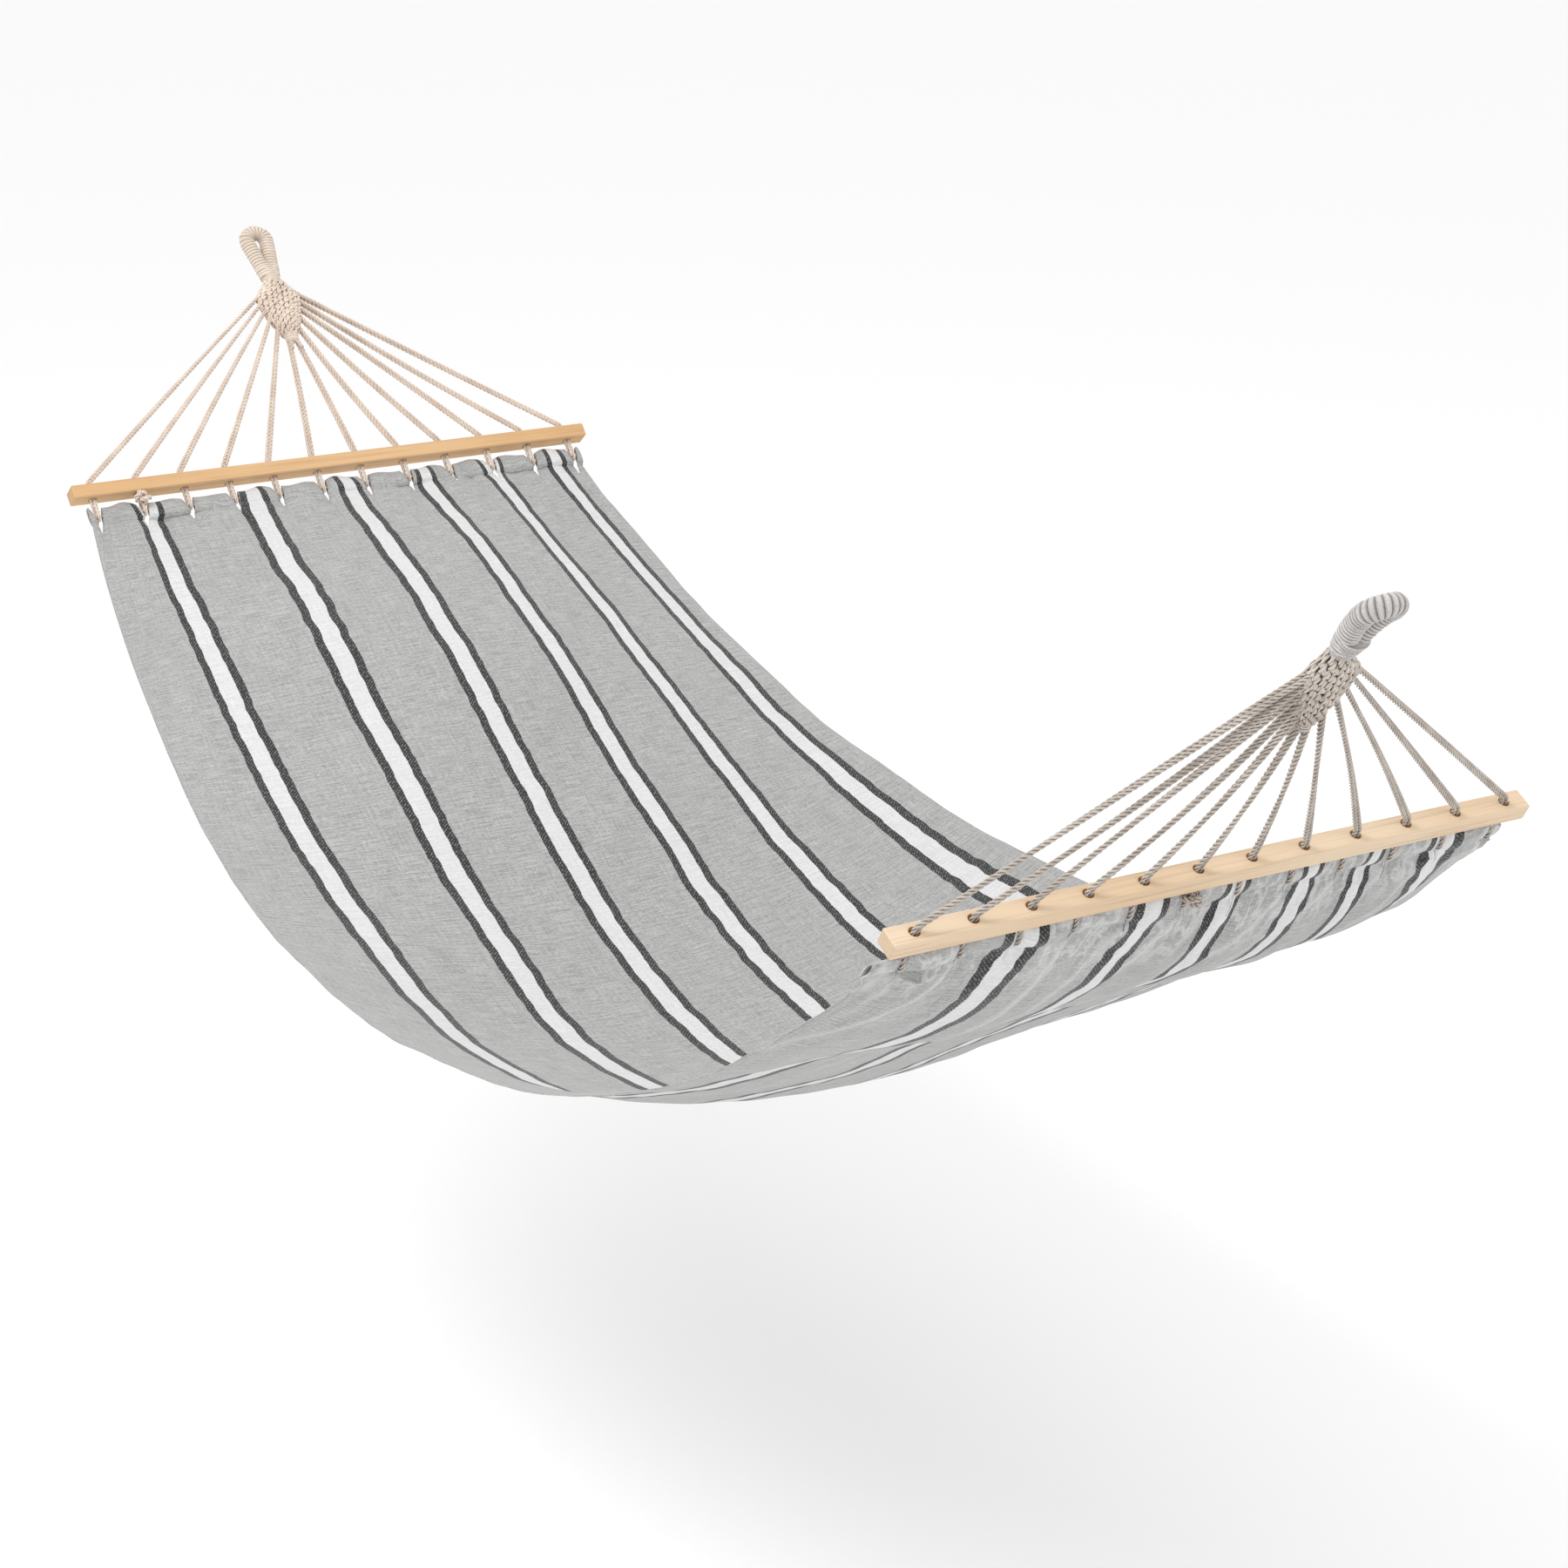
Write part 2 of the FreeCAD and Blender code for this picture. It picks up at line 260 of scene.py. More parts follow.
# ---- materials ----
class Shader:
    """A node material, put together with few words."""

    def __init__(self, name):
        self.material = bpy.data.materials.new(name)
        self.material.use_nodes = True
        self.tree = self.material.node_tree
        self.surface = self.tree.nodes["Principled BSDF"]

    def put(self, socket, value):
        if isinstance(value, bpy.types.NodeSocket):
            self.tree.links.new(value, socket)
        elif value is not None:
            socket.default_value = value

    def node(self, kind, inputs=(), **settings):
        made = self.tree.nodes.new(kind)
        for key, value in settings.items():
            setattr(made, key, value)
        for key, value in dict(inputs).items():
            self.put(made.inputs[key], value)
        return made

    def math(self, operation, a, b=None, c=None, clamp=False):
        made = self.node("ShaderNodeMath", operation=operation, use_clamp=clamp)
        for socket, value in zip(made.inputs, (a, b, c)):
            self.put(socket, value)
        return made.outputs[0]

    def mix(self, share, a, b):
        made = self.node("ShaderNodeMix", data_type="RGBA")
        for key, value in ((0, share), (6, a), (7, b)):
            self.put(made.inputs[key], value)
        return made.outputs[2]

    def noise(self, place, scale, detail=2.0, rough=0.5):
        return self.node("ShaderNodeTexNoise", {"Vector": place, "Scale": scale, "Detail": detail,
                                                "Roughness": rough}).outputs["Fac"]

    def stretched(self, place, scale):
        return self.node("ShaderNodeVectorMath", {0: place, 1: scale},
                         operation="MULTIPLY").outputs[0]

    def ramp(self, value, low, high):
        """0 below low, 1 above high, smooth between."""
        return self.node("ShaderNodeMapRange", {0: value, 1: low, 2: high},
                         interpolation_type="SMOOTHSTEP").outputs[0]

    def bump(self, height, distance, strength, under=None):
        return self.node("ShaderNodeBump", {"Height": height, "Distance": distance,
                                            "Strength": strength, "Normal": under}).outputs[0]


def grey(level):
    return (level, level, level, 1.0)


def darker(colour, share):
    return tuple(share * c for c in colour[:3]) + (1.0,)


def cloth_material():
    """Heathered grey plain weave with white bands between charcoal twill borders."""
    s = Shader("striped_cotton")
    uv = s.node("ShaderNodeUVMap", uv_map="lay").outputs[0]
    place = s.node("ShaderNodeSeparateXYZ", {0: uv})
    across, along = place.outputs[0], place.outputs[1]
    # each band pulls the weave a little to and fro on its way along the cloth
    drift = s.math("SUBTRACT", s.noise(s.stretched(uv, (2.0, 9.0, 1.0)), 1.0, 3.0), 0.5)
    kink = s.math("SUBTRACT", s.noise(s.stretched(uv, (7.0, 34.0, 1.0)), 1.0, 1.0), 0.5)
    fray = s.math("SUBTRACT", s.noise(s.stretched(uv, (60.0, 700.0, 1.0)), 1.0, 0.0), 0.5)
    moved = s.math("ADD", across, s.math("MULTIPLY", drift, 0.010))
    moved = s.math("ADD", moved, s.math("MULTIPLY", kink, 0.006))
    turns = s.math("DIVIDE", s.math("SUBTRACT", moved, STRIPE_SHIFT), STRIPE_PITCH)
    nearest = s.math("ADD", s.math("FLOOR", turns), 0.5)
    nearest = s.math("MINIMUM", s.math("MAXIMUM", nearest, 0.5 - STRIPES / 2), STRIPES / 2 - 0.5)
    away = s.math("MULTIPLY", s.math("ABSOLUTE", s.math("SUBTRACT", turns, nearest)), STRIPE_PITCH)
    away = s.math("ADD", away, s.math("MULTIPLY", fray, 0.0014))
    white = s.math("SUBTRACT", 1.0, s.ramp(away, WHITE_HALF - EDGE_BLUR, WHITE_HALF + EDGE_BLUR))
    outer = WHITE_HALF + BORDER
    banded = s.math("SUBTRACT", 1.0, s.ramp(away, outer - EDGE_BLUR, outer + EDGE_BLUR))
    border = s.math("SUBTRACT", banded, white, clamp=True)

    heather = s.noise(s.stretched(uv, (900.0, 700.0, 1.0)), 1.0, 2.0, 0.6)
    speckle = s.noise(s.stretched(uv, (190.0, 420.0, 1.0)), 1.0, 3.0, 0.65)
    slub = s.noise(s.stretched(uv, (26.0, 480.0, 1.0)), 1.0, 3.0, 0.6)
    warp = s.noise(s.stretched(uv, (520.0, 22.0, 1.0)), 1.0, 2.0)
    cloud = s.noise(uv, 7.0, 3.0)
    yarn = s.math("ADD", s.math("MULTIPLY", heather, 0.20), s.math("MULTIPLY", slub, 0.35))
    yarn = s.math("ADD", yarn, s.math("MULTIPLY", speckle, 0.30))
    yarn = s.math("ADD", yarn, s.math("MULTIPLY", warp, 0.15))
    body = s.mix(s.ramp(yarn, 0.40, 0.60), grey(0.245), (0.445, 0.445, 0.435, 1.0))
    body = s.mix(s.math("MULTIPLY", s.ramp(cloud, 0.35, 0.70), 0.15), body, grey(0.27))
    bleached = s.mix(s.ramp(yarn, 0.40, 0.60), grey(0.53), grey(0.66))
    # twill: short light flecks in slanting rows
    slant = s.math("SINE", s.math("MULTIPLY", s.math("ADD", along, s.math("MULTIPLY", across, 0.9)),
                                  2 * math.pi / TWILL_PITCH))
    fleck = s.noise(s.stretched(uv, (420.0, 260.0, 1.0)), 1.0, 2.0)
    fleck = s.ramp(s.math("ADD", s.math("MULTIPLY", slant, 0.12), fleck), 0.50, 0.74)
    dark = s.mix(fleck, grey(0.024), grey(0.170))
    colour = s.mix(white, s.mix(border, body, dark), bleached)
    # creases beside the foot hem are paler, partly from frayed fibres and partly as a painted
    # highlight on their ridges; the lines of pull get a painted highlight along their ridges
    pale_crease = s.noise(s.stretched(uv, (26.0, 15.0, 1.0)), 1.0, 4.0, 0.62)
    pale_crease = s.math("ABSOLUTE", s.math("SUBTRACT", pale_crease, 0.5))
    pale_crease = s.math("SUBTRACT", 1.0, s.ramp(pale_crease, 0.0, 0.070))
    near_hem = s.math("MULTIPLY", s.ramp(along, PALE_CREASES_FROM, PALE_CREASES_FROM + PALE_CREASES_OVER), 0.7)
    # on the cloth the 'deep' attribute carries the painted highlight on the ridges of the pull lines
    pull = s.node("ShaderNodeAttribute", attribute_name="deep").outputs["Fac"]
    pale_crease = s.math("MAXIMUM", s.math("MULTIPLY", pale_crease, near_hem), pull)
    pale_crease = s.math("MULTIPLY", pale_crease, s.math("SUBTRACT", 1.0, border))
    colour = s.mix(s.math("MULTIPLY", pale_crease, 0.55), colour, grey(0.72))
    s.put(s.surface.inputs["Base Color"], colour)
    s.put(s.surface.inputs["Roughness"], 0.92)
    s.put(s.surface.inputs["Sheen Weight"], 0.25)
    s.put(s.surface.inputs["Specular IOR Level"], 0.2)
    rib = s.math("MULTIPLY", s.math("SINE", s.math("MULTIPLY", across, 2 * math.pi / RIB_PITCH)),
                 s.math("SINE", s.math("MULTIPLY", along, 2 * math.pi / RIB_PITCH)))
    height = s.math("ADD", s.math("MULTIPLY", rib, 0.35), s.math("MULTIPLY", yarn, 1.3))
    crumple = s.noise(uv, 38.0, 4.0, 0.55)
    soft = s.bump(crumple, 0.0022, 0.5)
    s.put(s.surface.inputs["Normal"], s.bump(height, 0.00030, 0.8, soft))
    return s.material


def rope_material(name, light, dark, fleck_share, groove_share):
    """Unbleached cotton cord: fine fibres with stray darker ones, and shade in the grooves."""
    s = Shader(name)
    uv = s.node("ShaderNodeUVMap", uv_map="lay").outputs[0]
    solid = s.node("ShaderNodeTexCoord").outputs["Object"]
    cloud = s.noise(solid, 26.0, 3.0)
    fleck = s.noise(solid, 420.0, 2.0, 0.6)
    fibre = s.noise(s.stretched(uv, (170.0, 46.0, 1.0)), 1.0, 2.0, 0.6)
    colour = s.mix(s.ramp(cloud, 0.30, 0.72), light, dark)
    deeper = darker(dark, 0.55)
    colour = s.mix(s.math("MULTIPLY", s.ramp(fleck, 0.52, 0.68), fleck_share), colour, deeper)
    colour = s.mix(s.math("MULTIPLY", s.ramp(fibre, 0.55, 0.75), 0.22), colour, deeper)
    groove = s.node("ShaderNodeAttribute", attribute_name="deep").outputs["Fac"]
    colour = s.mix(s.math("MULTIPLY", groove, groove_share), colour, darker(dark, 0.22))
    s.put(s.surface.inputs["Base Color"], colour)
    s.put(s.surface.inputs["Roughness"], 0.88)
    s.put(s.surface.inputs["Sheen Weight"], 0.35)
    s.put(s.surface.inputs["Specular IOR Level"], 0.25)
    height = s.math("ADD", s.math("MULTIPLY", fibre, 0.6), s.math("MULTIPLY", fleck, 0.6))
    s.put(s.surface.inputs["Normal"], s.bump(height, 0.0005, 0.7))
    return s.material


HOLE_TINT = (0.78, 0.44, 0.16, 1.0)


def wood_material(end, pale, warm, rim):
    """Planed wood with its grain along the bar and darker rims round the drilled holes."""
    s = Shader(end + "_bar_wood")
    solid = s.node("ShaderNodeTexCoord").outputs["Object"]
    along = s.node("ShaderNodeSeparateXYZ", {0: solid}).outputs[1]
    from_middle = s.node("ShaderNodeVectorMath", {0: solid, 1: tuple(BAR[end])},
                         operation="SUBTRACT").outputs[0]

    def component(direction):
        return s.node("ShaderNodeVectorMath", {0: from_middle, 1: tuple(direction)},
                      operation="DOT_PRODUCT").outputs["Value"]

    off = component(normal_to(end, FAN[end]))
    deep = component(FAN[end])
    grain = s.noise(s.stretched(solid, (260.0, 5.0, 260.0)), 1.0, 5.0, 0.6)
    pores = s.noise(s.stretched(solid, (1500.0, 26.0, 1500.0)), 1.0, 2.0)
    cloud = s.noise(s.stretched(solid, (9.0, 3.0, 9.0)), 1.0, 3.0)
    colour = s.mix(s.ramp(cloud, 0.30, 0.75), pale, warm)
    streak = darker(warm, 0.72)
    colour = s.mix(s.math("MULTIPLY", s.ramp(grain, 0.46, 0.68), 0.45), colour, streak)
    colour = s.mix(s.math("MULTIPLY", s.ramp(pores, 0.60, 0.74), 0.25), colour, streak)
    # each hole has a darker rim, and an orange tint inside
    wrapped = s.math("WRAP", along, HOLE_PITCH, 0.0)
    beside = s.math("ABSOLUTE", s.math("SUBTRACT", wrapped, HOLE_PITCH / 2))
    radius = s.math("SQRT", s.math("ADD", s.math("MULTIPLY", beside, beside),
                                   s.math("MULTIPLY", off, off)))
    rimmed = s.math("SUBTRACT", 1.0, s.ramp(radius, HOLE_RADIUS + 0.0001, HOLE_RADIUS + 0.0011))
    depth = s.math("ABSOLUTE", deep)
    inside = s.math("SUBTRACT", 1.0, s.ramp(depth, BAR_DEPTH / 2 - 0.0012, BAR_DEPTH / 2 - 0.0002))
    colour = s.mix(s.math("MULTIPLY", rimmed, 0.6), colour, rim)
    colour = s.mix(s.math("MULTIPLY", rimmed, inside), colour, HOLE_TINT)
    # the sawn ends drink more oil, and the edges are a little worn
    end_grain = s.ramp(s.math("ABSOLUTE", along), BAR_LENGTH / 2 - 0.0010, BAR_LENGTH / 2 - 0.0002)
    colour = s.mix(s.math("MULTIPLY", end_grain, 0.5), colour, streak)
    lightened = s.math("MULTIPLY",
                  s.ramp(s.math("ABSOLUTE", off), BAR_WIDTH / 2 - 0.0022, BAR_WIDTH / 2 - 0.0004),
                  s.ramp(depth, BAR_DEPTH / 2 - 0.0022, BAR_DEPTH / 2 - 0.0004))
    colour = s.mix(s.math("MULTIPLY", lightened, 0.35), colour, pale)
    s.put(s.surface.inputs["Base Color"], colour)
    rough = s.node("ShaderNodeMapRange", {0: grain, 3: 0.42, 4: 0.62}).outputs[0]
    s.put(s.surface.inputs["Roughness"], rough)
    s.put(s.surface.inputs["Specular IOR Level"], 0.35)
    height = s.math("ADD", grain, s.math("MULTIPLY", pores, 0.5))
    s.put(s.surface.inputs["Normal"], s.bump(height, 0.00035, 0.5))
    return s.material


ROPE = {
    "head": rope_material("head_laid_cotton", (0.76, 0.64, 0.54, 1.0), (0.64, 0.52, 0.43, 1.0),
                          0.30, 0.32),
    "foot": rope_material("foot_laid_cotton", (0.60, 0.54, 0.48, 1.0), (0.46, 0.40, 0.35, 1.0),
                          0.45, 1.0),
}
WHIPPING = {
    "head": rope_material("head_whipping", (0.70, 0.60, 0.50, 1.0), (0.60, 0.50, 0.41, 1.0),
                          0.25, 0.55),
    "foot": rope_material("foot_whipping", (0.56, 0.53, 0.51, 1.0), (0.42, 0.395, 0.385, 1.0),
                          0.40, 0.95),
}
CLOTH = cloth_material()
WOOD = {
    "head": wood_material("head", (0.62, 0.40, 0.21, 1.0), (0.56, 0.33, 0.15, 1.0),
                          (0.40, 0.21, 0.09, 1.0)),
    "foot": wood_material("foot", (0.66, 0.52, 0.37, 1.0), (0.60, 0.43, 0.27, 1.0),
                          (0.48, 0.25, 0.09, 1.0)),
}

# ---- bars: the CAD's own solids ----
for end in SIDE:
    wooden = frame["nodes"][end + "_bar"]
    wooden.data.materials.clear()
    wooden.data.materials.append(WOOD[end])

# ---- laid rope ----
LAY = 0.019                 # length in which the three strands of a rope go once round
ROPE_STEP = 0.0013
PLIES = 3
LOBE_POINTS = 6             # points on each strand's share of the outline
FULLER = 0.15               # of a rope in its free length, over one that is squeezed in its hole
FULLER_FROM = [0.014, 0.030]            # above the bar's middle, where it swells to that
SLACK = 0.004               # most that a rope bows out at its middle, besides its sag
SAG = 0.003
ROPE_INTO_CLEW = 0.006      # of a rope's end beyond its place of exit, and how far it is tucked in
ROPE_TUCK = 0.003
LEAD_SHARES = (0.12, 0.35, 0.6, 0.85, 0.965)            # points of a rope between clew and bar
LOOP_OPENS = 0.006          # before the cord, where the two strands part to go round it


def laid_outline(radius, turns):
    """Outline of a laid rope at each of its points, turned by so many turns at each."""
    ply = radius / (1 + 1 / math.sin(math.pi / PLIES))
    centre = radius - ply
    angle = np.arange(PLIES * LOBE_POINTS) * 2 * math.pi / (PLIES * LOBE_POINTS)
    share = 2 * math.pi / PLIES
    local = (angle + share / 2) % share - share / 2
    reach = centre * np.cos(local) + np.sqrt(np.maximum(ply ** 2 - (centre * np.sin(local)) ** 2, 0))
    turned = angle[None] + 2 * math.pi * turns[:, None]
    return np.stack([reach * np.cos(turned), reach * np.sin(turned)], 2)


def laid_rope(points, radius, step=ROPE_STEP, fullness=None):
    """Skin of a laid rope; fullness tells how much thicker it is at each point of its path."""
    path = evenly(points, step)
    outline = laid_outline(radius, run_of(path) / LAY + rng.uniform())
    deep = np.clip(1.1 * (1 - np.linalg.norm(outline, axis=2) / radius), 0, 1)
    if fullness:
        outline = outline * fullness(path)[:, None, None]
    skin = sweep(path, outline, unit(ACROSS + 0.3 * FAN["head"]))
    skin["deep"] = deep.ravel()
    return skin


def doubled_rope(end, number):
    """Both strands of one rope, from the clew through the bar, round the cord and back."""
    across = hole_across(number)
    below, out = (value / 1000 for value in CLEW_EXITS[min(number, ROPES + 1 - number) - 1])
    hand = 1 if across > 0 else -1
    spacing = STRAND_SPACING / 2
    bow = rng.uniform(-SLACK, SLACK, 2) + np.array([0.0, -SAG])

    def strand(face):
        top = fan_point(end, NECK_DISTANCE - below + ROPE_INTO_CLEW, hand * (out - ROPE_TUCK),
                        face * spacing)
        low = fan_point(end, BAR_DEPTH / 2 + STRAND, across + face * spacing)
        lead = [top]
        for share in LEAD_SHARES:
            bend = math.sin(math.pi * share)
            shift = ACROSS * bow[0] * bend + normal_to(end, FAN[end]) * bow[1] * bend
            lead.append(top + (low - top) * share + shift)
        return lead + [
            low,
            fan_point(end, -BAR_DEPTH / 2 - STRAND / 2, across + face * spacing),
            fan_point(end, -CORD_DISTANCE + LOOP_OPENS, across, face * CORD_LOOP),
            fan_point(end, -CORD_DISTANCE - CORD_LOOP, across, face * CORD_LOOP)]

    def fullness(path):
        above = (path - BAR[end]) @ FAN[end]
        return 1 + FULLER * np.interp(above, FULLER_FROM, [0, 1])

    points = smoothed(strand(1) + strand(-1)[::-1])
    return laid_rope(points, STRAND / 2, fullness=fullness)


for end in SIDE:
    for number in range(1, ROPES + 1):
        made = piece("%s_laid_rope_%02d" % (end, number), [doubled_rope(end, number)], ROPE[end])
        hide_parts("%s_rope_%02d" % (end, number))
        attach(made, end + "_fan")
    line = [fan_point(end, -CORD_DISTANCE, y) for y in (-CORD_LENGTH / 2, 0.0, CORD_LENGTH / 2)]
    made = piece(end + "_laid_cord", [laid_rope(line, CORD_RADIUS)], ROPE[end])
    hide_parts(end + "_hem_cord")
    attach(made, "bed")


# ---- end knots ----
KNOT_SIZE = 0.0062
KNOT_STRAND = 0.0033
KNOT_STEP = 0.0008


def overhand(centre, axis, size, radius):
    """A tight trefoil of rope round an axis, with its two short ends."""
    first = unit(np.cross(axis, ACROSS))
    second = unit(np.cross(axis, first))
    t = np.linspace(0, 2 * math.pi, 120)
    ring = size * (1 + 0.55 * np.cos(3 * t))
    path = (centre + np.outer(ring * np.cos(2 * t), first) + np.outer(ring * np.sin(2 * t), second)
            + np.outer(0.75 * size * np.sin(3 * t), axis))
    parts = [laid_rope(path, radius, KNOT_STEP)]
    for turn in (0.3, 0.75):
        way = math.cos(turn * math.pi) * first + math.sin(turn * math.pi) * second
        tail = [centre + way * size, centre + way * (size + 0.004) + axis * 0.002,
                centre + way * (size + 0.006) + axis * 0.006]
        parts.append(laid_rope(smoothed(tail), radius * 0.9, KNOT_STEP))
    return parts


for end, (number, off) in KNOTS.items():
    centre = fan_point(end, -KNOT_DISTANCE, hole_across(number), off * 0.9)
    axis = unit(FAN[end] + 0.4 * ACROSS)
    made = piece(end + "_end_knot", overhand(centre, axis, KNOT_SIZE, KNOT_STRAND), ROPE[end])
    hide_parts(end + "_knot")
    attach(made, end + "_fan")

# ---- eyes, whipped all round ----
WHIP_PITCH = {"head": 0.0048, "foot": 0.0047}
WHIP_RADIUS = {"head": 0.0110, "foot": 0.0118}
WHIP_GROOVE = 0.48          # depth of the grooves between the turns, as a share of their pitch
WHIP_STEP = 0.00045
EYE_BOW = {"head": 0.0, "foot": 0.008}      # of the loop's middle to the upper side
EYE_BOW_LENGTH = EYE_LENGTH * 1.1
LEG_START = 0.003           # of the loop's legs from the neck, and how much they part there
LEG_PART = 0.0005
EYE_STEP = 0.0009
AROUND = 30                 # points round a wound skin
TURNS_DRAWN = 400
UNEVEN = 0.0008             # how unevenly the turns stand out
BINDING_PITCH = 0.0034      # of the finer turns at the neck and at the clew's tail
BINDING_GROOVE = 0.0014
BINDING_STEP = 0.0003


def wound(path, run, wide, thick, pitch, depth, up, seed):
    """Skin of a core with close turns of cord round it."""
    angle = np.arange(AROUND) * 2 * math.pi / AROUND
    phase = run[:, None] / pitch + angle[None] / (2 * math.pi)
    turn = np.floor(phase)
    inside = 2 * (phase - turn) - 1
    drawn = np.random.default_rng(seed).uniform(-0.35, 0.35, TURNS_DRAWN)
    fuller = drawn[turn.astype(int) % TURNS_DRAWN]
    groove = 1 - np.sqrt(np.maximum(1 - inside ** 2, 0))
    ridge = fuller * UNEVEN - depth * groove
    skin = sweep(path, np.stack([(wide[:, None] + ridge) * np.cos(angle),
                                 (thick[:, None] + ridge) * np.sin(angle)], 2), up)
    skin["deep"] = np.clip(1.5 * groove - 0.05, 0, 1).ravel()
    return skin


def binding(line, shares, wide, thick, seed):
    """A short bound length, with its half width and half thickness at shares of its length."""
    path = evenly(line, BINDING_STEP)
    run = np.arange(len(path)) * BINDING_STEP
    share = run / run[-1]
    return wound(path, run, np.interp(share, shares, wide), np.interp(share, shares, thick),
                 BINDING_PITCH, BINDING_GROOVE, ACROSS, seed)


def eye_line(end):
    """Middle line of the teardrop loop, from the neck round the crown and back."""
    crown = EYE_LENGTH - EYE_RADIUS - EYE_BEND
    reach = math.hypot(crown, EYE_LEG_OFFSET)
    spread = math.asin(EYE_BEND / reach) - math.atan2(EYE_LEG_OFFSET, crown)
    turn = np.linspace(-spread, math.pi + spread, 60)
    places = ([(LEG_START, EYE_LEG_OFFSET + LEG_PART)]
              + [(crown + EYE_BEND * math.sin(a), EYE_BEND * math.cos(a)) for a in turn]
              + [(LEG_START, -EYE_LEG_OFFSET - LEG_PART)])
    flat = evenly([(along, across, 0.0) for along, across in places], EYE_STEP)
    return [eye_point(end, along, across, EYE_BOW[end] * math.sin(math.pi * along / EYE_BOW_LENGTH))
            for along, across, _ in flat]


for end, seed in (("head", 3), ("foot", 4)):
    path = evenly(eye_line(end), WHIP_STEP)
    run = np.arange(len(path)) * WHIP_STEP
    size = np.full(len(path), WHIP_RADIUS[end])
    skin = wound(path, run, size, size, WHIP_PITCH[end], WHIP_PITCH[end] * WHIP_GROOVE,
                 normal_to(end, EYE[end]), seed)
    made = piece(end + "_whipped_eye", [skin], WHIPPING[end])
    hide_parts(end + "_eye_core", end + "_eye_whipping")
    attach(made, "eyes")

    # the neck: finer turns that bind the two legs together
    skin = binding([eye_point(end, along) for along in (-0.010, 0.022)],
                   [0, 0.10, 0.35, 0.75, 0.93, 1],
                   [0.009, 0.0125, 0.0135, 0.0170, 0.0182, 0.0165],
                   [0.009, 0.0118, 0.0118, 0.0118, 0.0118, 0.0100], seed + 10)
    made = piece(end + "_neck_binding", [skin], WHIPPING[end])
    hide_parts(end + "_neck_seizing")
    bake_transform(made)

# ---- clews: strands plaited close, each showing as a row of short stitches ----
STITCH_PITCH = 0.0098       # along the clew, from one course of stitches to the next but one
STITCHES = 18               # all round, in two courses that are staggered
STITCH_SLANT = 0.38         # of the stitches from the clew's own direction, in radians
STITCH_SKEW = 0.16          # most that one stitch is turned from that
STITCH_RISE = 0.0026        # of a stitch over its own middle line
STITCH_BROAD = (0.0024, 0.0046)         # least and most half width
STITCH_DIVE = 0.0052        # of its two ends into the plait
STITCH_TWIST = 0.35
STITCH_POINTS = 15
CLEW_CORE_INSET = 0.0028    # of the filling behind the stitches
CLEW_CORE_STEP = 0.0020
CLEW_CORE_POINTS = 40
CLEW_SEED = {"head": 21, "foot": 22}
TAIL_RADIUS = 0.0023


def clew_shape(below):
    """Half width and half thickness of a clew at a distance below the neck."""
    distance, wide, thick = CLEW_SECTIONS.T
    fine = np.linspace(distance[0], distance[-1], 80)
    kernel = np.ones(9) / 9
    result = []
    for value in (wide, thick):
        curve = np.convolve(np.pad(np.interp(fine, distance, value), 4, mode="edge"), kernel, "valid")
        result.append(np.interp(below, fine, curve))
    return result


def on_clew(end, below, angle, lift):
    wide, thick = clew_shape(below)
    centre = NECK[end][None] - FAN[end][None] * below[:, None]
    normal = normal_to(end, FAN[end])
    return (centre + ((wide + lift) * np.cos(angle))[:, None] * ACROSS
            + ((thick + lift) * np.sin(angle))[:, None] * normal)


def stitch(end, below, angle, source):
    """One short float of a strand, which comes up out of the plait and dives back in."""
    share = np.linspace(-1, 1, STITCH_POINTS)
    slant = STITCH_SLANT + source.uniform(-STITCH_SKEW, STITCH_SKEW)
    length = STITCH_PITCH * source.uniform(0.66, 0.76)
    wide, thick = (float(value[0]) for value in clew_shape(np.array([below])))
    arc = math.hypot(wide * math.sin(angle), thick * math.cos(angle))
    girth = 2 * math.pi * math.sqrt((wide ** 2 + thick ** 2) / 2) / STITCHES
    broad = float(np.clip(0.60 * girth, *STITCH_BROAD)) * source.uniform(0.92, 1.08)
    along = below + share * length * math.cos(slant)
    around = angle + share * length * math.sin(slant) / max(arc, 0.006)
    lift = 0.0014 - STITCH_DIVE * share ** 4 - 0.0010 * share ** 2
    lift = lift + source.uniform(-0.0005, 0.0005)
    line = on_clew(end, np.clip(along, 0.0, CLEW_SECTIONS[-1, 0]), around, lift - 0.0020)
    away = np.stack([thick * np.cos(around), wide * np.sin(around)], 1)
    away = away[:, :1] * ACROSS + away[:, 1:] * normal_to(end, FAN[end])
    away /= np.linalg.norm(away, axis=1)[:, None]
    tangent = np.gradient(line, axis=0)
    tangent /= np.linalg.norm(tangent, axis=1)[:, None]
    beside = np.cross(tangent, away)
    away = np.cross(beside, tangent)
    taper = (1 - 0.55 * share ** 4)[:, None, None]
    outline = laid_outline(1.0, share * STITCH_TWIST + source.uniform()) * taper
    rings = (line[:, None] + STITCH_RISE * outline[..., :1] * away[:, None]
             + broad * outline[..., 1:] * beside[:, None])
    columns = outline.shape[1]
    quads, steps = grid_faces(STITCH_POINTS, columns, True)
    uv = np.stack([steps[..., 0] * 0.0012, steps[..., 1] / columns], 2)
    # painted shade on the underside of each stitch and where its ends dive into the plait
    below_top = np.clip((0.30 - outline[..., 0]) * 1.2, 0, 1) * 0.8 + share[:, None] ** 4 * 0.5
    return {"points": rings.reshape(-1, 3), "quads": quads, "uv": uv,
            "caps": end_caps(STITCH_POINTS, columns), "deep": np.clip(below_top, 0, 1).ravel()}


